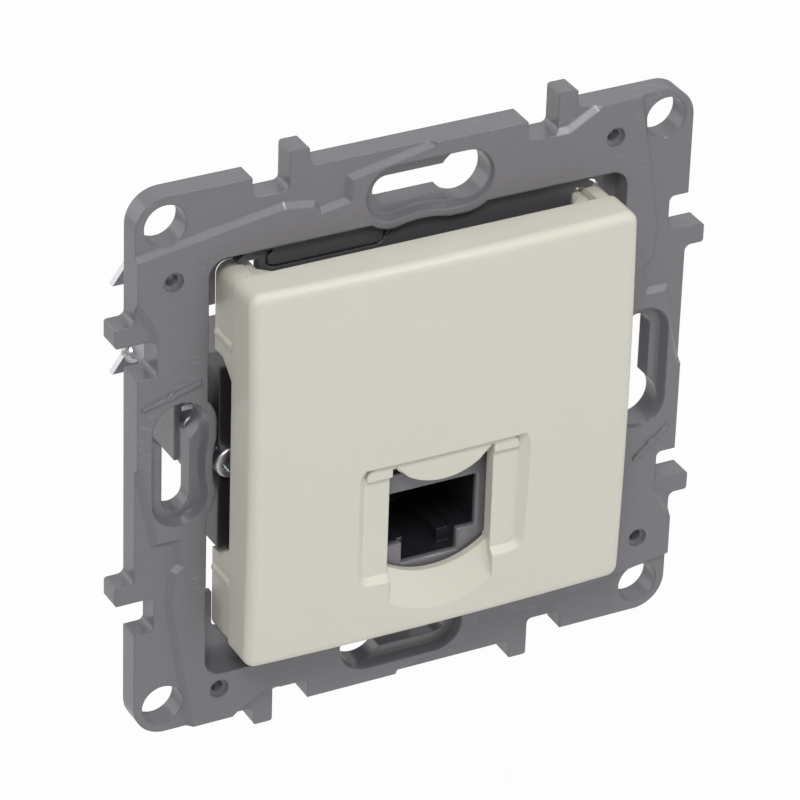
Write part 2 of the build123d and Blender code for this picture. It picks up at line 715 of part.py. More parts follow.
def idc_block(row):
    """A block of four wire slots behind the board."""
    z = idc_rows()[row]
    front = board_span()[1] + SEAT_GAP
    back = front + IDC_DEPTH
    outer = max(z, key=lambda value: abs(value - JACK_MID_Z))
    sign = 1 if outer > JACK_MID_Z else -1
    inner = z[0] if sign > 0 else z[1]
    profile = polygon([
        (front, inner),
        (front, outer),
        (back - IDC_CHAMFER, outer),
        (back, outer - sign * IDC_CHAMFER),
        (back, inner),
    ])
    body = side_prism(profile, (-IDC_HALF, IDC_HALF))
    for index in range(IDC_COUNT):
        x = idc_x(index)
        half = IDC_SLOT / 2
        body -= block((x - half, x + half), (back - IDC_SLOT_DEPTH, back + 1), (z[0] - 1, z[1] + 1))
        reach = BLADE_WIDTH / 2 + FIT_GAP
        middle = (z[0] + z[1]) / 2
        thin = BLADE_THICK / 2 + FIT_GAP
        body -= block((x - reach, x + reach), (front - 1, back - 1.2), (middle - thin, middle + thin))
    return body


def idc_blade(row, index):
    """A forked blade that cuts through a wire's insulation."""
    z = idc_rows()[row]
    middle = (z[0] + z[1]) / 2
    front = board_span()[1] + SEAT_GAP
    x = idc_x(index)
    thin = BLADE_THICK / 2
    body = block(
        (x - BLADE_WIDTH / 2, x + BLADE_WIDTH / 2),
        (front, front + BLADE_REACH),
        (middle - thin, middle + thin),
    )
    slit = block(
        (x - BLADE_SLIT / 2, x + BLADE_SLIT / 2),
        (front + BLADE_REACH - 2.6, front + BLADE_REACH + 1),
        (middle - 1, middle + 1),
    )
    return body - slit


def cap_axis():
    """The cap's pin line, below the lower wiring block, as (y, z)."""
    y = board_span()[1] + SEAT_GAP + CAP_LAP + CAP_PIN_R + CAP_PIN_SETBACK
    return (y, BOARD_FOOT - CAP_GAP - CAP_WALL - CAP_PIN_R - CAP_PIN_DROP)


def wiring_cap():
    """The hinged cap that presses the wires into their slots, with the cable's way in."""
    front = board_span()[1] + SEAT_GAP + CAP_LAP
    back = front + CAP_DEPTH
    block_back = board_span()[1] + SEAT_GAP + IDC_DEPTH
    half = IDC_HALF + CAP_GAP
    top = BOARD_TOP + CAP_TOP_GAP
    foot = BOARD_FOOT - CAP_GAP
    outer = half + CAP_WALL
    body = block((-outer, outer), (front, back), (foot - CAP_WALL, top + CAP_WALL))
    body -= block((-half, half), (front - 1, back - CAP_WALL), (foot, top))
    for rows in idc_rows().values():
        for index in range(IDC_COUNT):
            thin = IDC_SLOT / 2 - 0.12
            x = idc_x(index)
            body += block(
                (x - thin, x + thin),
                (block_back - 1.0, back - CAP_WALL + 0.2),
                (rows[0] + 0.4, rows[1] - 0.4),
            )
    middle = (BOARD_TOP + BOARD_FOOT) / 2
    body -= y_cylinder(CABLE_HOLE_R, (front, back + 1), 0, middle)
    body += block(
        (-LEVER_LENGTH, LEVER_LENGTH),
        (back - LEVER_THICK - 0.6, back - 0.6),
        (top + CAP_WALL - 0.1, top + CAP_WALL + LEVER_THICK),
    )
    y, z = cap_axis()
    ear = half + CAP_WALL - CAP_EAR_THICK
    for side in (-1, 1):
        x = sorted((side * ear, side * outer))
        body += block(x, (y - CAP_EAR_R, y + CAP_EAR_R), (z, foot))
        body += Pos((x[0] + x[1]) / 2, y, z) * Rot(0, 90, 0) * Cylinder(CAP_EAR_R, CAP_EAR_THICK)
    pin = Pos(0, y, z) * Rot(0, 90, 0) * Cylinder(CAP_PIN_R, 2 * outer)
    return body + pin


def mechanism_housing():
    """The grey housing behind the carrier plate, with a well for the jack and hinge lugs."""
    front = CARRIER_BACK + SEAT_GAP
    back = front + HOUSING_DEPTH
    wide = rectangle((-HOUSING_HALF_X, HOUSING_HALF_X), (-HOUSING_HALF_Z, HOUSING_HALF_Z))
    well = rectangle((-HOUSING_WELL_HALF, HOUSING_WELL_HALF), (HOUSING_WELL_Z, HOUSING_HALF_Z))
    body = front_prism(wide + well, (front, back))
    inner_half = HOUSING_WELL_HALF - HOUSING_WALL / 2
    hollow = rectangle(
        (-inner_half, inner_half), (HOUSING_WELL_Z + HOUSING_WALL / 2, BEZEL_TOP + 1.2)
    )
    body -= front_prism(hollow, (front - 1, board_span()[0] - 1.5))
    passage = rectangle(
        (-BOARD_HALF - FIT_GAP, BOARD_HALF + FIT_GAP),
        (BOARD_FOOT - FIT_GAP, BOARD_TOP + FIT_GAP),
    )
    body -= front_prism(passage, (front - 1, back + 1))
    body -= claw_bay(1) + claw_bay(-1)
    return body + hinge_lugs(back)


def hinge_lugs(back):
    """Two lugs below the wiring side that hold the cap's pin."""
    y, z = cap_axis()
    inner = IDC_HALF + CAP_GAP + CAP_WALL - CAP_EAR_THICK - 0.2
    lug_half = 1.2
    result = None
    for side in (-1, 1):
        x = sorted((side * inner, side * (inner - 2 * lug_half)))
        lug = block(x, (back - 0.1, y), (z - CAP_LUG_R, z + CAP_LUG_R))
        middle = (x[0] + x[1]) / 2
        lug += Pos(middle, y, z) * Rot(0, 90, 0) * Cylinder(CAP_LUG_R, 2 * lug_half)
        bore = Pos((x[0] + x[1]) / 2, y, z) * Rot(0, 90, 0) * Cylinder(CAP_PIN_R + CAP_PIN_GAP, 6)
        lug -= bore
        result = lug if result is None else result + lug
    return result


def claw_bay(side):
    """The groove in the housing's side for a claw, its foot, nut and screw."""
    reach = HOUSING_HALF_X + 1
    arm_in = CLAW_PIVOT[0] - CLAW_THICK / 2 - CLAW_BAY_GAP
    half = CLAW_HALF_Z + CLAW_RUN_GAP
    x = sorted((side * arm_in, side * reach))
    bay = block(x, (-2, HOUSING_DEPTH + 1), (-half, half))
    holder = block(
        sorted((side * (HOLDER_IN - FIT_GAP), side * reach)),
        (-2, HOLDER_BACK + SEAT_GAP),
        (-HOLDER_HALF_Z - FIT_GAP, HOLDER_HALF_Z + FIT_GAP),
    )
    bay += holder
    nut_in = CLAW_SCREW_X - NUT_R - CLAW_RUN_GAP
    bay += block(sorted((side * nut_in, side * reach)), (-2, HOUSING_DEPTH + 1), (-half, half))
    length = 2 * (TRUNNION_REACH + TRUNNION_GAP)
    hole = Pos(side * CLAW_PIVOT[0], CLAW_PIVOT[1], 0) * Cylinder(TRUNNION_R + TRUNNION_GAP, length)
    return bay + hole


def claw():
    """A folded steel claw on the left side: foot, arm, and an end plate with two teeth."""
    pivot_x, pivot_y = CLAW_PIVOT
    arm_x = (-pivot_x - CLAW_THICK / 2, -pivot_x + CLAW_THICK / 2)
    end = (CLAW_TIP_Y - CLAW_THICK, CLAW_TIP_Y)
    body = block(arm_x, (pivot_y - CLAW_THICK, CLAW_TIP_Y), (-CLAW_HALF_Z, CLAW_HALF_Z))
    root = CLAW_TIP_X - CLAW_TOOTH
    upper, lower = CLAW_TOOTH_FEET
    outline = polygon([
        (arm_x[1], lower),
        (-CLAW_TIP_X, lower),
        (-root - 0.5, lower + CLAW_TOOTH_RISE * 0.75),
        (-root, lower + CLAW_TOOTH_RISE),
        (-root, upper),
        (-CLAW_TIP_X, upper),
        (-root - 0.5, upper + CLAW_TOOTH_RISE * 0.75),
        (-root, upper + CLAW_TOOTH_RISE),
        (arm_x[1], upper + CLAW_TOOTH_RISE),
    ])
    body += front_prism(outline, end)
    dimple = Pos(-pivot_x - 0.2, end[0] + 0.55, lower + 2.2) * Sphere(CLAW_DIMPLE_R)
    body += dimple & block((-CLAW_TIP_X, 0), (end[0] - 1, end[1]), (lower, 0))
    foot = block(
        (-CLAW_FOOT_REACH, arm_x[1]),
        (pivot_y - CLAW_THICK, pivot_y),
        (-CLAW_FOOT_HALF_Z, CLAW_FOOT_HALF_Z),
    )
    body += foot
    body += Pos(-pivot_x, pivot_y, 0) * Cylinder(TRUNNION_R, 2 * TRUNNION_REACH)
    body -= block(arm_x, CLAW_SLOT[:2], (-CLAW_SLOT[2], CLAW_SLOT[2]))
    slot = stadium(-CLAW_SCREW_X - FOOT_SLOT, -CLAW_SCREW_X, FOOT_HOLE_R, 0)
    return body - front_prism(slot, (pivot_y - 2 * CLAW_THICK, pivot_y + CLAW_THICK))


def nut_travel():
    """How far the barrel nut comes forward while the claw swings to its limit."""
    arm = CLAW_SCREW_X - CLAW_PIVOT[0]
    angle = radians(CLAW_OPEN_DEG)
    rest = NUT_R + NUT_GAP
    return rest - (rest - arm * sin(angle)) / cos(angle)


def barrel_nut():
    """A round-backed nut on the left screw that draws the claw's foot forward."""
    y = CLAW_PIVOT[1] + NUT_GAP + NUT_R
    body = top_prism(Pos(-CLAW_SCREW_X, y) * Circle(NUT_R), (-NUT_HALF_Z, NUT_HALF_Z))
    return body - y_cylinder(SCREW_R + NUT_GAP, (y - 4, y + 4), -CLAW_SCREW_X)


def claw_screw():
    """The left claw's screw with a six-lobed recess."""
    front = SCREW_HEAD_FRONT
    head = y_cylinder(SCREW_HEAD_R, (front, front + SCREW_HEAD_HEIGHT), -CLAW_SCREW_X)
    rim = [e for e in head.edges() if e.center().Y < front + 0.1]
    head = fillet([e for e in rim if e.geom_type == GeomType.CIRCLE], 0.35)
    shank = y_cylinder(SCREW_R, (front + SCREW_HEAD_HEIGHT - 0.1, SCREW_END), -CLAW_SCREW_X)
    tip = [e for e in shank.edges() if e.geom_type == GeomType.CIRCLE and e.center().Y > SCREW_END - 0.1]
    shank = chamfer(tip, SCREW_POINT)
    recess = Circle(SCREW_RECESS_R)
    for lobe in range(SCREW_LOBES):
        angle = 2 * pi * lobe / SCREW_LOBES
        recess += Pos(SCREW_RECESS_R * cos(angle), SCREW_RECESS_R * sin(angle)) * Circle(SCREW_LOBE_R)
    cut = front_prism(Pos(-CLAW_SCREW_X, 0) * recess, (front - 1, front + SCREW_RECESS_DEPTH))
    return head + shank - cut


def claw_holder():
    """The black block on the left that carries the screw's head in front of the claw's foot."""
    front = SCREW_HEAD_FRONT + SCREW_HEAD_HEIGHT + SEAT_GAP
    body = block((-HOLDER_OUT, -HOLDER_IN), (front, HOLDER_BACK), (-HOLDER_HALF_Z, HOLDER_HALF_Z))
    body -= y_cylinder(SCREW_R + NUT_GAP, (front - 1, HOLDER_BACK + 1), -CLAW_SCREW_X)
    return body


def build():
    finish(support_frame(), "support_frame", GREY)
    finish(front_cover(), "front_cover", IVORY)
    finish(dust_shutter(), "dust_shutter", IVORY)
    finish(shutter_guide(), "shutter_guide", IVORY)
    finish(carrier_plate(), "carrier_plate", DARK_GREY)
    finish(mechanism_housing(), "mechanism_housing", GREY)
    finish(jack_bezel(), "jack_bezel", GREY)
    finish(jack_insert(), "jack_insert", BLACK)
    finish(contact_comb(), "contact_comb", BLACK)
    finish(circuit_board(), "circuit_board", BOARD_GREEN)
    finish(wiring_cap(), "wiring_cap", BLUE)
    for index in range(CONTACT_COUNT):
        finish(contact_wire(index), f"contact_{index + 1}", GOLD)
    for row in idc_rows():
        finish(idc_block(row), f"idc_block_{row}", WHITE)
        for index in range(IDC_COUNT):
            finish(idc_blade(row, index), f"idc_blade_{row}_{index + 1}", STEEL)
    sides = {
        "claw": (claw(), STEEL),
        "claw_screw": (claw_screw(), STEEL),
        "claw_nut": (barrel_nut(), STEEL),
        "claw_holder": (claw_holder(), BLACK),
    }
    for name, (shape, colour) in sides.items():
        finish(shape, f"{name}_left", colour)
        finish(mirrored(shape), f"{name}_right", colour)


build()
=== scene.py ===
# %% [markdown]
# A flush ethernet wall socket, dressed in Blender over its CAD model. The CAD nodes stay where
# they are and keep their shape. This script rounds their edges, gives every node a finish built
# from shader nodes, adds the grip ribs and the screw threads that are too fine for the solids,
# and sets up the camera and the light of a plain product photograph.

import json
import math

import bpy
from mathutils import Matrix, Vector


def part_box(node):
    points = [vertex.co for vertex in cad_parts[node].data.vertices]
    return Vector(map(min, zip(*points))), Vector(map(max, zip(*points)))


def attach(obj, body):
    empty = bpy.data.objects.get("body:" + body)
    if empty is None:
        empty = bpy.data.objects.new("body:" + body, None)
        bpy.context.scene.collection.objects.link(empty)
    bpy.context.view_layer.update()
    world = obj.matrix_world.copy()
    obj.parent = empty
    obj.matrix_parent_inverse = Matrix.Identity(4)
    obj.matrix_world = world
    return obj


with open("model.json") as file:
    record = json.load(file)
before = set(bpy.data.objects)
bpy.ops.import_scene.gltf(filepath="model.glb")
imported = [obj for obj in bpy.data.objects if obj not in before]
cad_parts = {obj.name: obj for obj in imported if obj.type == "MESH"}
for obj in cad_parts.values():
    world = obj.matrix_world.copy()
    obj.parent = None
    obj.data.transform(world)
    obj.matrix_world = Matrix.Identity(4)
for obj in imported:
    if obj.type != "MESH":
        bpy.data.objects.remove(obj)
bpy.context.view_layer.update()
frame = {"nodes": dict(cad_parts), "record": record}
nodes = frame["nodes"]
print("CAD nodes:", len(nodes))

# %% [markdown]
# Lengths on a wall socket are read in millimetres and Blender's scene is in metres, so one
# helper value turns the first into the second wherever a size is written down.

# %% Units
MM = 0.001
print("one millimetre is", MM, "m")

# %% [markdown]
# Every finish below is a small network of shader nodes, and the same few steps come back in all
# of them. One helper makes an empty node group with named sockets. The others each add one node,
# for a sum or product, a noise, or a soft step from 0 to 1, and return the socket to go on from.


# %% Helpers for shader nodes
def new_group(name, inputs, outputs):
    """An empty shader node group with float inputs {name: default} and float outputs."""
    tree = bpy.data.node_groups.new(name, "ShaderNodeTree")
    for label, default in inputs.items():
        socket = tree.interface.new_socket(label, in_out="INPUT", socket_type="NodeSocketFloat")
        socket.default_value = default
    for label in outputs:
        tree.interface.new_socket(label, in_out="OUTPUT", socket_type="NodeSocketFloat")
    return tree, tree.nodes.new("NodeGroupInput"), tree.nodes.new("NodeGroupOutput")


def maths(tree, operation, first, second):
    """A Math node whose two inputs are sockets or plain numbers; returns its output."""
    node = tree.nodes.new("ShaderNodeMath")
    node.operation = operation
    for socket, value in zip(node.inputs, (first, second)):
        if isinstance(value, (int, float)):
            socket.default_value = value
        else:
            tree.links.new(value, socket)
    return node.outputs["Value"]


def noise(tree, vector, scale, detail):
    """A Noise Texture whose scale, per metre, comes from a socket; returns its factor."""
    node = tree.nodes.new("ShaderNodeTexNoise")
    node.inputs["Detail"].default_value = detail
    tree.links.new(vector, node.inputs["Vector"])
    tree.links.new(scale, node.inputs["Scale"])
    return node.outputs["Fac"]


def fade(tree, value, low, high):
    """A smooth step from 0 at low to 1 at high."""
    node = tree.nodes.new("ShaderNodeMapRange")
    node.interpolation_type = "SMOOTHSTEP"
    node.inputs["From Min"].default_value = low
    node.inputs["From Max"].default_value = high
    tree.links.new(value, node.inputs["Value"])
    return node.outputs["Result"]


# %% [markdown]
# Moulded plastic is never quite flat. Under a soft lamp it shows a very fine grain and slow
# waves in its gloss. A picture of grain would blur close up, and noise stays sharp. Several
# finishes need it, each with its own strength, so it is one node group: it reads Object
# coordinates and puts out a height for a Bump node and a mask that shifts the roughness.

# %% A node group for moulded grain
FINE_GRAIN = 9000.0
SLOW_WAVES = 120.0


def moulded_grain_group():
    tree, start, end = new_group(
        "moulded grain",
        {"Grain per metre": FINE_GRAIN, "Waves per metre": SLOW_WAVES, "Wave share": 0.5},
        ["Height", "Gloss mask"],
    )
    place = tree.nodes.new("ShaderNodeTexCoord").outputs["Object"]
    fine = noise(tree, place, start.outputs["Grain per metre"], detail=2.0)
    slow = noise(tree, place, start.outputs["Waves per metre"], detail=4.0)
    weighted = maths(tree, "MULTIPLY", slow, start.outputs["Wave share"])
    tree.links.new(maths(tree, "ADD", fine, weighted), end.inputs["Height"])
    tree.links.new(slow, end.inputs["Gloss mask"])
    return tree


grain = moulded_grain_group()
print("group:", grain.name, "with", len(grain.nodes), "nodes")

# %% [markdown]
# The grey frame has been handled: pale rub marks lie in soft clouds on it. Painting them by hand
# would tie them to one view, so two noises place them. The broad one fades the fine one in and
# out, and the fine one is stretched along one direction, as real scratches are. The group puts
# out only how much of the mark shows.

# %% A node group for rub marks
SCRATCH_ANGLE = math.radians(38)
SCRATCH_STRETCH = (0.3, 1.0, 1.0)
PATCH_FADE = (0.54, 0.76)
SCRATCH_FADE = (0.50, 0.74)


def rub_marks_group():
    tree, start, end = new_group(
        "rub marks", {"Patches per metre": 75.0, "Scratches per metre": 2400.0}, ["Marks"]
    )
    place = tree.nodes.new("ShaderNodeTexCoord").outputs["Object"]
    stretch = tree.nodes.new("ShaderNodeMapping")
    stretch.inputs["Rotation"].default_value = (0.0, SCRATCH_ANGLE, 0.0)
    stretch.inputs["Scale"].default_value = SCRATCH_STRETCH
    tree.links.new(place, stretch.inputs["Vector"])
    along = stretch.outputs["Vector"]
    patches = noise(tree, place, start.outputs["Patches per metre"], detail=3.0)
    scratches = noise(tree, along, start.outputs["Scratches per metre"], detail=5.0)
    here = fade(tree, patches, *PATCH_FADE)
    line = fade(tree, scratches, *SCRATCH_FADE)
    tree.links.new(maths(tree, "MULTIPLY", here, line), end.inputs["Marks"])
    return tree


rubbing = rub_marks_group()
print("group:", rubbing.name, "with", len(rubbing.nodes), "nodes")

# %% [markdown]
# A plastic and a metal are built from the same pieces: a material with its Principled BSDF, a
# group placed with its own values, a mix of two shades of one colour, and a Bump node for the
# relief. The shader itself stays in the material, where the export can read it.

# %% Helpers for materials
RELIEF_DEPTH = 0.1 * MM


def new_material(name):
    """A material with nodes; returns it, its tree and its Principled BSDF."""
    material = bpy.data.materials.new(name)
    material.use_nodes = True
    return material, material.node_tree, material.node_tree.nodes["Principled BSDF"]


def place_group(tree, group, values):
    """The node group placed in a material's tree, with these input values."""
    node = tree.nodes.new("ShaderNodeGroup")
    node.node_tree = group
    for label, value in values.items():
        node.inputs[label].default_value = value
    return node


def shade(colour, factor):
    """The colour made lighter or darker, as the four numbers that a socket takes."""
    return (*[min(1.0, channel * factor) for channel in colour], 1.0)


def mix_colours(tree, factor, first, second):
    """A Mix node from first to second, each a socket or four numbers; returns its result."""
    node = tree.nodes.new("ShaderNodeMix")
    node.data_type = "RGBA"
    tree.links.new(factor, node.inputs["Factor"])
    for label, value in (("A", first), ("B", second)):
        if isinstance(value, tuple):
            node.inputs[label].default_value = value
        else:
            tree.links.new(value, node.inputs[label])
    return node.outputs["Result"]


def add_relief(tree, shader, height, strength):
    """A Bump node between the height and the shader's normal; returns the node."""
    bump = tree.nodes.new("ShaderNodeBump")
    bump.inputs["Strength"].default_value = strength
    bump.inputs["Distance"].default_value = RELIEF_DEPTH
    tree.links.new(height, bump.inputs["Height"])
    tree.links.new(bump.outputs["Normal"], shader.inputs["Normal"])
    return bump


# %% [markdown]
# Each plastic is a colour that drifts a little over the surface, with the grain group driving a
# Bump node and the roughness. The numbers tell the finishes apart. A coat gives the sharp glints
# of polished moulds. Roughness is written as its lowest value and grows with the slow waves. It
# stays above 0.28 all over a plastic, because the denoiser takes smoother surfaces for mirrors
# and would draw an outline where the roughness crosses 0.27. Where an edge radius is given, a
# Bevel node turns the normal round every edge by that many millimetres, as a mould leaves it.

# %% Build a plastic
COAT_ROUGHNESS = 0.10
GLOSS_SPREAD = 0.14
EDGE_SAMPLES = 4


def round_shading(tree, shader, bump, radius):
    """A Bevel node that rounds the edges in the shading, under the relief and the coat."""
    rounding = tree.nodes.new("ShaderNodeBevel")
    rounding.samples = EDGE_SAMPLES
    rounding.inputs["Radius"].default_value = radius
    tree.links.new(rounding.outputs["Normal"], bump.inputs["Normal"])
    tree.links.new(rounding.outputs["Normal"], shader.inputs["Coat Normal"])


def plastic(
    name, colour, rough, drift, relief, coat=0.0, marks=0.0, edge=0.0, grain_scale=FINE_GRAIN
):
    material, tree, shader = new_material(name)
    shader.inputs["Coat Weight"].default_value = coat
    shader.inputs["Coat Roughness"].default_value = COAT_ROUGHNESS
    surface = place_group(tree, grain, {"Grain per metre": grain_scale})
    waves = surface.outputs["Gloss mask"]
    tone = mix_colours(tree, waves, shade(colour, 1 - drift), shade(colour, 1 + drift))
    if marks:
        rubbed = place_group(tree, rubbing, {})
        tone = mix_colours(tree, rubbed.outputs["Marks"], tone, shade(colour, 1 + marks))
    tree.links.new(tone, shader.inputs["Base Color"])
    spread = maths(tree, "MULTIPLY", waves, GLOSS_SPREAD)
    tree.links.new(maths(tree, "ADD", spread, rough), shader.inputs["Roughness"])
    bump = add_relief(tree, shader, surface.outputs["Height"], relief)
    if edge:
        round_shading(tree, shader, bump, edge * MM)
    return material


# %% The socket's plastics
PLASTICS = {
    "frame_plastic": dict(
        colour=(0.178, 0.171, 0.188),
        rough=0.29,
        drift=0.05,
        relief=0.08,
        coat=0.7,
        marks=0.7,
        edge=0.32,
    ),
    "dark_plastic": dict(
        colour=(0.098, 0.098, 0.106), rough=0.36, drift=0.04, relief=0.10, coat=0.1, edge=0.15
    ),
    "ivory_plastic": dict(
        colour=(0.735, 0.712, 0.620), rough=0.30, drift=0.012, relief=0.03, coat=0.1, edge=0.15
    ),
    "black_plastic": dict(
        colour=(0.020, 0.020, 0.025), rough=0.29, drift=0.10, relief=0.06, coat=0.6, edge=0.15
    ),
    "white_plastic": dict(colour=(0.62, 0.62, 0.59), rough=0.38, drift=0.02, relief=0.05),
    "cap_plastic": dict(colour=(0.045, 0.085, 0.19), rough=0.32, drift=0.04, relief=0.06),
    "board": dict(
        colour=(0.020, 0.085, 0.040),
        rough=0.30,
        drift=0.08,
        relief=0.10,
        coat=0.3,
        grain_scale=4000.0,
    ),
}
finishes = {name: plastic(name, **numbers) for name, numbers in PLASTICS.items()}
print("plastics:", ", ".join(finishes))

# %% [markdown]
# Metal parts are small here: gold-plated spring wires, tinned blades and zinc-plated claws and
# screws. Zinc plate on pressed steel is a little cloudy, so its roughness and colour follow the
# grain group's slow waves. A plain metallic shader does the rest. Here the waves shift the
# roughness to both sides of the written value.

# %% Build a metal
METAL_GRAIN = 5200.0
METAL_WAVES = 420.0
CLOUD_SPREAD = 0.2


def metal(name, colour, rough, cloud=0.12, relief=0.05):
    material, tree, shader = new_material(name)
    shader.inputs["Metallic"].default_value = 1.0
    surface = place_group(
        tree, grain, {"Grain per metre": METAL_GRAIN, "Waves per metre": METAL_WAVES}
    )
    waves = surface.outputs["Gloss mask"]
    tone = mix_colours(tree, waves, shade(colour, 1 - cloud), shade(colour, 1))
    tree.links.new(tone, shader.inputs["Base Color"])
    spread = maths(tree, "MULTIPLY", waves, CLOUD_SPREAD)
    lowest = rough - CLOUD_SPREAD / 2
    tree.links.new(maths(tree, "ADD", spread, lowest), shader.inputs["Roughness"])
    add_relief(tree, shader, surface.outputs["Height"], relief)
    return material


# %% The socket's metals
METALS = {
    "zinc_steel": dict(colour=(0.60, 0.61, 0.63), rough=0.34),
    "tinned_bronze": dict(colour=(0.70, 0.69, 0.66), rough=0.30),
    "gold": dict(colour=(0.90, 0.66, 0.28), rough=0.22, cloud=0.05, relief=0.02),
}
for name, numbers in METALS.items():
    finishes[name] = metal(name, **numbers)
print("metals:", ", ".join(METALS))

# %% [markdown]
# The record says which finish each node takes, so the script reads the pairs from there and
# nothing has to be kept in step by hand.

# %% Give every node its finish
slot_of = {part["node"]: part["material_slot"] for part in frame["record"]["subparts"]}
for name, piece in nodes.items():
    piece.data.materials.clear()
    piece.data.materials.append(finishes[slot_of[name]])
print("painted nodes:", len(slot_of))

# %% [markdown]
# Real moulded edges are rounded by a tenth of a millimetre or so, and it is that rounding which
# catches the light as a thin bright line. Fillets that small would burden the solids, so they
# are made here. A CAD node's mesh is loose triangles, so a Weld modifier joins them first and a
# Bevel modifier then rounds only the edges that turn sharply. The node's own vertices are left
# alone. Each width is small enough for the shortest edges of its piece. The frame and the cover
# have edges too short for any bevel, so theirs are rounded by the Bevel node in their plastic
# alone. Wires, blades, screws, nuts and the board keep the edges of their solids.

# %% Round the edges
WELD_DISTANCE = 0.002 * MM
SHARP_ANGLE = math.radians(35)
EDGE_WIDTHS = {
    "dust_shutter": 0.10 * MM,
    "carrier_plate": 0.15 * MM,
    "mechanism_housing": 0.15 * MM,
    "jack_bezel": 0.18 * MM,
    "jack_insert": 0.08 * MM,
    "shutter_guide": 0.08 * MM,
    "wiring_cap": 0.08 * MM,
    "idc_block_upper": 0.08 * MM,
    "idc_block_lower": 0.08 * MM,
    "claw_left": 0.06 * MM,
    "claw_right": 0.06 * MM,
    "claw_holder_left": 0.15 * MM,
    "claw_holder_right": 0.15 * MM,
}


def round_edges(piece, width):
    """Join the piece's triangles and round its sharp edges, by modifiers alone."""
    weld = piece.modifiers.new("join triangles", "WELD")
    weld.merge_threshold = WELD_DISTANCE
    bevel = piece.modifiers.new("rounded edges", "BEVEL")
    bevel.width = width
    bevel.segments = 2
    bevel.limit_method = "ANGLE"
    bevel.angle_limit = SHARP_ANGLE
    bevel.use_clamp_overlap = False
    bevel.harden_normals = True


for name, width in EDGE_WIDTHS.items():
    round_edges(nodes[name], width)
print("rounded:", len(EDGE_WIDTHS), "nodes")

# %% [markdown]
# What repeats or winds is made with Geometry Nodes: a small tree with named inputs for its sizes.
# Each tree ends the same way, with its instances made real and painted, and is run the same way:
# on an empty object whose result is then kept as a plain mesh. Three helpers hold these steps.

# %% Helpers for Geometry Nodes trees
SOCKET_KINDS = {int: "NodeSocketInt", float: "NodeSocketFloat", tuple: "NodeSocketVector"}


def new_tree(name, inputs):
    """A Geometry Nodes tree with these named inputs; returns it with its two end nodes."""
    tree = bpy.data.node_groups.new(name, "GeometryNodeTree")
    for label, value in inputs.items():
        kind = SOCKET_KINDS[type(value)]
        tree.interface.new_socket(label, in_out="INPUT", socket_type=kind).default_value = value
    tree.interface.new_socket("Geometry", in_out="OUTPUT", socket_type="NodeSocketGeometry")
    return tree, tree.nodes.new("NodeGroupInput"), tree.nodes.new("NodeGroupOutput")


def finish_tree(tree, geometry, end, paint):
    """Make instances real, give the result its material and send it out."""
    real = tree.nodes.new("GeometryNodeRealizeInstances")
    tree.links.new(geometry, real.inputs["Geometry"])
    colour = tree.nodes.new("GeometryNodeSetMaterial")
    colour.inputs["Material"].default_value = paint
    tree.links.new(real.outputs["Geometry"], colour.inputs["Geometry"])
    tree.links.new(colour.outputs["Geometry"], end.inputs["Geometry"])


def run_tree(name, tree, values):
    """Run the tree with these input values and keep the result as a plain mesh object."""
    piece = bpy.data.objects.new(name, bpy.data.meshes.new(name))
    bpy.context.scene.collection.objects.link(piece)
    maker = piece.modifiers.new("maker", "NODES")
    maker.node_group = tree
    for item in tree.interface.items_tree:
        if item.in_out == "INPUT" and item.name in values:
            maker[item.identifier] = values[item.name]
    bpy.context.view_layer.update()
    graph = bpy.context.evaluated_depsgraph_get()
    mesh = bpy.data.meshes.new_from_object(piece.evaluated_get(graph))
    piece.modifiers.remove(maker)
    piece.data = mesh
    return piece


# %% [markdown]
# The wiring cap is pushed shut with a thumb, so its back has a row of grip ribs on each side of
# the cable's way in. Modelled one by one they would be seven separate boxes a side. One tree does
# it instead: a line of points with one small bar on each point. Both rows are this tree with
# their own numbers.


# %% A tree for a row of bars
def row_of_bars_tree(paint):
    tree, start, end = new_tree(
        "row of bars",
        {
            "Count": 5,
            "First": (0.0, 0.0, 0.0),
            "Step": (0.0, 0.0, 1 * MM),
            "Bar size": (1 * MM, 1 * MM, 1 * MM),
        },
    )
    line = tree.nodes.new("GeometryNodeMeshLine")
    line.mode = "OFFSET"
    tree.links.new(start.outputs["Count"], line.inputs["Count"])
    tree.links.new(start.outputs["First"], line.inputs["Start Location"])
    tree.links.new(start.outputs["Step"], line.inputs["Offset"])
    bar = tree.nodes.new("GeometryNodeMeshCube")
    tree.links.new(start.outputs["Bar size"], bar.inputs["Size"])
    place = tree.nodes.new("GeometryNodeInstanceOnPoints")
    tree.links.new(line.outputs["Mesh"], place.inputs["Points"])
    tree.links.new(bar.outputs["Mesh"], place.inputs["Instance"])
    finish_tree(tree, place.outputs["Instances"], end, paint)
    return tree


bars_tree = row_of_bars_tree(finishes["cap_plastic"])
print("tree:", bars_tree.name, "with", len(bars_tree.nodes), "nodes")

# %% Grip ribs on the wiring cap
RIB_COUNT = 7
RIB_STEP = 1.7 * MM
RIB_SIZE = (3.4 * MM, 0.5 * MM, 0.7 * MM)
ROW_FROM_MIDDLE = 6.3 * MM
ROW_CENTRE_Z = -11.5 * MM
RIB_SUNK = 0.05 * MM

cap_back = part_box("wiring_cap")[1].y
rib_y = cap_back + RIB_SIZE[1] / 2 - RIB_SUNK
first_rib_z = ROW_CENTRE_Z - RIB_STEP * (RIB_COUNT - 1) / 2
for side, label in ((-1, "left"), (1, "right")):
    ribs = run_tree(
        "cap_ribs_" + label,
        bars_tree,
        {
            "Count": RIB_COUNT,
            "First": (side * ROW_FROM_MIDDLE, rib_y, first_rib_z),
            "Step": (0.0, 0.0, RIB_STEP),
            "Bar size": RIB_SIZE,
        },
    )
    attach(ribs, "cap")
print("grip ribs:", 2 * RIB_COUNT)

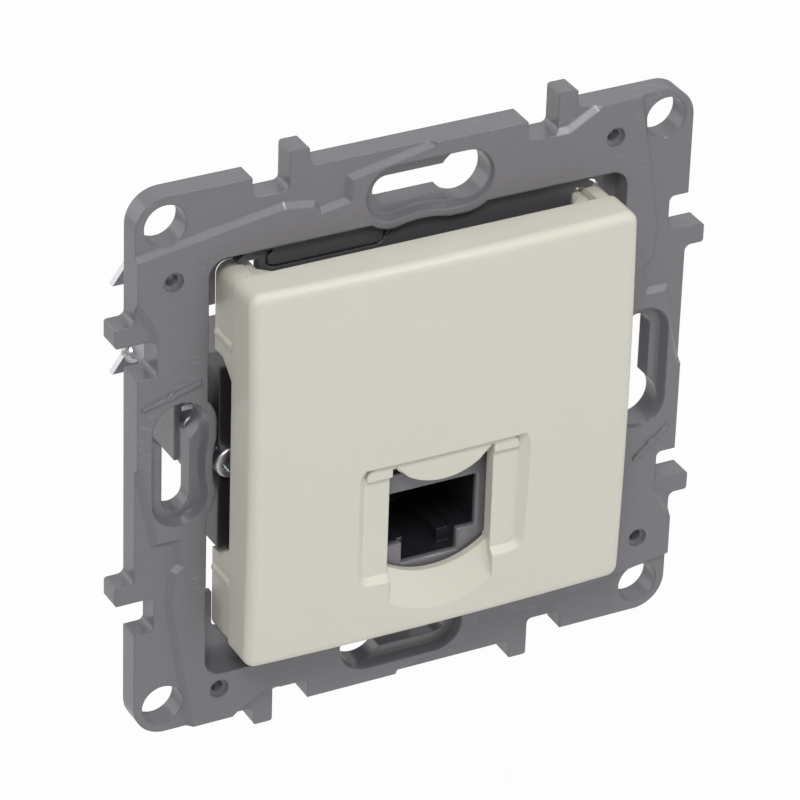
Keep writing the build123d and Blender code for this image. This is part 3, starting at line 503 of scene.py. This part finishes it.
# %% [markdown]
# A claw screw's thread is a ridge that winds round the shank, too fine for the solids. A bump in
# the material could hint at it, but would be missing from the mesh. So a spiral curve carries a
# small diamond profile, half of it sunk in the shank, and a turn lays the spiral's axis along y.
# Each thread rides on its own screw, so it turns with it.

# %% A tree for a screw thread
SPIRAL_STEPS = 28
DIAMOND_CORNERS = 4
AXIS_ALONG_Y = (math.radians(-90), 0.0, 0.0)


def thread_tree(paint):
    tree, start, end = new_tree(
        "screw thread",
        {
            "Turns": 10.0,
            "Radius": 1 * MM,
            "Length": 10 * MM,
            "Ridge": 0.2 * MM,
            "Start": (0.0, 0.0, 0.0),
        },
    )
    spiral = tree.nodes.new("GeometryNodeCurveSpiral")
    spiral.inputs["Resolution"].default_value = SPIRAL_STEPS
    tree.links.new(start.outputs["Turns"], spiral.inputs["Rotations"])
    tree.links.new(start.outputs["Radius"], spiral.inputs["Start Radius"])
    tree.links.new(start.outputs["Radius"], spiral.inputs["End Radius"])
    tree.links.new(start.outputs["Length"], spiral.inputs["Height"])
    upright = tree.nodes.new("GeometryNodeSetCurveNormal")
    upright.mode = "Z_UP"
    tree.links.new(spiral.outputs["Curve"], upright.inputs["Curve"])
    diamond = tree.nodes.new("GeometryNodeCurvePrimitiveCircle")
    diamond.inputs["Resolution"].default_value = DIAMOND_CORNERS
    tree.links.new(start.outputs["Ridge"], diamond.inputs["Radius"])
    ridge = tree.nodes.new("GeometryNodeCurveToMesh")
    ridge.inputs["Fill Caps"].default_value = True
    tree.links.new(upright.outputs["Curve"], ridge.inputs["Curve"])
    tree.links.new(diamond.outputs["Curve"], ridge.inputs["Profile Curve"])
    lay = tree.nodes.new("GeometryNodeTransform")
    lay.inputs["Rotation"].default_value = AXIS_ALONG_Y
    tree.links.new(ridge.outputs["Mesh"], lay.inputs["Geometry"])
    tree.links.new(start.outputs["Start"], lay.inputs["Translation"])
    finish_tree(tree, lay.outputs["Geometry"], end, paint)
    return tree


threads_tree = thread_tree(finishes["zinc_steel"])
print("tree:", threads_tree.name, "with", len(threads_tree.nodes), "nodes")

# %% Threads on the two claw screws
SHANK_RADIUS = 1.7 * MM
THREAD_PITCH = 0.7 * MM
THREAD_RIDGE = 0.14 * MM
THREAD_FROM_HEAD = 1.6 * MM
THREAD_TO_POINT = 1.2 * MM

for side, body in (("left", "screw_l"), ("right", "screw_r")):
    low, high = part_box("claw_screw_" + side)
    length = high.y - THREAD_TO_POINT - low.y - THREAD_FROM_HEAD
    thread = run_tree(
        "claw_screw_thread_" + side,
        threads_tree,
        {
            "Turns": length / THREAD_PITCH,
            "Radius": SHANK_RADIUS,
            "Length": length,
            "Ridge": THREAD_RIDGE,
            "Start": ((low.x + high.x) / 2, low.y + THREAD_FROM_HEAD, 0.0),
        },
    )
    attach(thread, body)
    print(thread.name, len(thread.data.polygons), "faces")

# %% [markdown]
# The photograph shows the socket on white. The floor is a plain pale plane well below the part,
# which hangs as it would on a wall. Seen by the camera the floor mostly glows white, and under
# every other ray it is an ordinary pale surface, so it keeps the part's shadow.

# %% Floor
FLOOR_HALF = 3000 * MM
FLOOR_Z = -160 * MM
CORNER_SIGNS = ((-1, -1), (1, -1), (1, 1), (-1, 1))
FLOOR_COLOUR = (0.9, 0.9, 0.9, 1)
FLOOR_ROUGHNESS = 0.9
FLOOR_GLOW = 0.96
WHITE = (1, 1, 1, 1)

floor_paint, tree, matt = new_material("floor paint")
matt.inputs["Base Color"].default_value = FLOOR_COLOUR
matt.inputs["Roughness"].default_value = FLOOR_ROUGHNESS
glow = tree.nodes.new("ShaderNodeEmission")
glow.inputs["Color"].default_value = WHITE
path = tree.nodes.new("ShaderNodeLightPath")
share = maths(tree, "MULTIPLY", path.outputs["Is Camera Ray"], FLOOR_GLOW)
blend = tree.nodes.new("ShaderNodeMixShader")
tree.links.new(share, blend.inputs["Fac"])
tree.links.new(matt.outputs["BSDF"], blend.inputs[1])
tree.links.new(glow.outputs["Emission"], blend.inputs[2])
tree.links.new(blend.outputs["Shader"], tree.nodes["Material Output"].inputs["Surface"])

floor_mesh = bpy.data.meshes.new("floor")
corners = [(x * FLOOR_HALF, y * FLOOR_HALF, FLOOR_Z) for x, y in CORNER_SIGNS]
floor_mesh.from_pydata(corners, [], [(0, 1, 2, 3)])
floor_mesh.materials.append(floor_paint)
floor = bpy.data.objects.new("floor", floor_mesh)
bpy.context.scene.collection.objects.link(floor)
print("floor", round(-FLOOR_Z / MM), "mm below the part's centre")

# %% [markdown]
# The light that falls on the part comes from the lamps and a dim world, so its colours render
# about as they are written. The camera sees the same world as pure white, and so would a ray
# through glass. What the gloss mirrors is white overhead and fades to dim below, as in a room
# with a lit ceiling, so slopes stand out from flat faces.

# %% World
DIM_WORLD = 0.23
MIRRORED_DIM_AT = -0.5
MIRRORED_WHITE_AT = 1.0

world = bpy.data.worlds.new("studio")
world.use_nodes = True
bpy.context.scene.world = world
tree = world.node_tree
background = tree.nodes["Background"]
background.inputs["Color"].default_value = WHITE
path = tree.nodes.new("ShaderNodeLightPath")
direction = tree.nodes.new("ShaderNodeTexCoord").outputs["Generated"]
split = tree.nodes.new("ShaderNodeSeparateXYZ")
tree.links.new(direction, split.inputs["Vector"])
ceiling = fade(tree, split.outputs["Z"], MIRRORED_DIM_AT, MIRRORED_WHITE_AT)
mirrored = maths(tree, "MULTIPLY", path.outputs["Is Glossy Ray"], ceiling)
seen = maths(tree, "MAXIMUM", path.outputs["Is Camera Ray"], path.outputs["Is Transmission Ray"])
strength = maths(tree, "MAXIMUM", maths(tree, "MAXIMUM", seen, mirrored), DIM_WORLD)
tree.links.new(strength, background.inputs["Strength"])
print("world strength", DIM_WORLD, "on the part, 1 to the camera")

# %% [markdown]
# Soft square lamps do the lighting. The key stands to the upper left in front, the fill to the
# right keeps the frame's far side readable, and a top lamp lifts the faces that look up. A small
# one at the upper right draws glints along the frame's sloping edges: it stands where a slope of
# 45 degrees mirrors it into the camera. A lamp behind shows the back. Places and sizes are in
# metres and powers in watts, and every lamp faces the part's centre.

# %% Lamps
LAMPS = {
    "key": dict(place=(-0.44, -0.68, 0.86), size=0.30, power=5.6),
    "fill": dict(place=(0.85, -0.70, 0.25), size=0.80, power=1.9),
    "top": dict(place=(0.10, 0.05, 1.00), size=0.60, power=2.1),
    "glint": dict(place=(0.46, -0.60, 0.92), size=0.16, power=1.9),
    "back": dict(place=(-0.60, 0.95, 0.15), size=0.80, power=2.2),
}


def soft_lamp(name, place, size, power):
    data = bpy.data.lights.new(name, "AREA")
    data.shape = "SQUARE"
    data.size = size
    data.energy = power
    lamp = bpy.data.objects.new(name, data)
    lamp.location = place
    lamp.rotation_euler = (-Vector(place)).to_track_quat("-Z", "Y").to_euler()
    bpy.context.scene.collection.objects.link(lamp)


for name, numbers in LAMPS.items():
    soft_lamp(name, **numbers)
print("lamps:", ", ".join(LAMPS))

# %% [markdown]
# The camera's angle, distance and focal length were solved from points of known size in the
# photograph: the 71 mm frame seen from the left at 28 degrees and from above at 31, with a small
# roll. The picture is close to a parallel view, so the lens is long and the camera far.

# %% Camera
AZIMUTH = math.radians(-28.28)
ELEVATION = math.radians(30.61)
ROLL = math.radians(1.95)
DISTANCE = 591 * MM
FOCAL_PIXELS = 5085
IMAGE_PIXELS = 800
SENSOR_MM = 36
NEAR_CLIP = 10 * MM
TARGET = Vector((-0.14, 0.0, 0.17)) * MM

back = Vector(
    (
        math.sin(AZIMUTH) * math.cos(ELEVATION),
        -math.cos(AZIMUTH) * math.cos(ELEVATION),
        math.sin(ELEVATION),
    )
)
level = Vector((math.cos(AZIMUTH), math.sin(AZIMUTH), 0))
rise = back.cross(level)
right = level * math.cos(ROLL) + rise * math.sin(ROLL)
up = rise * math.cos(ROLL) - level * math.sin(ROLL)
camera_data = bpy.data.cameras.new("camera")
camera_data.sensor_width = SENSOR_MM
camera_data.lens = FOCAL_PIXELS * SENSOR_MM / IMAGE_PIXELS
camera_data.clip_start = NEAR_CLIP
camera = bpy.data.objects.new("camera", camera_data)
turn = Matrix((right, up, back)).transposed().to_4x4()
camera.matrix_world = Matrix.Translation(TARGET + back * DISTANCE) @ turn
bpy.context.scene.collection.objects.link(camera)
bpy.context.scene.camera = camera
bpy.context.scene.view_settings.view_transform = "Standard"
print("lens", round(camera_data.lens, 1), "mm at", round(DISTANCE, 3), "m")
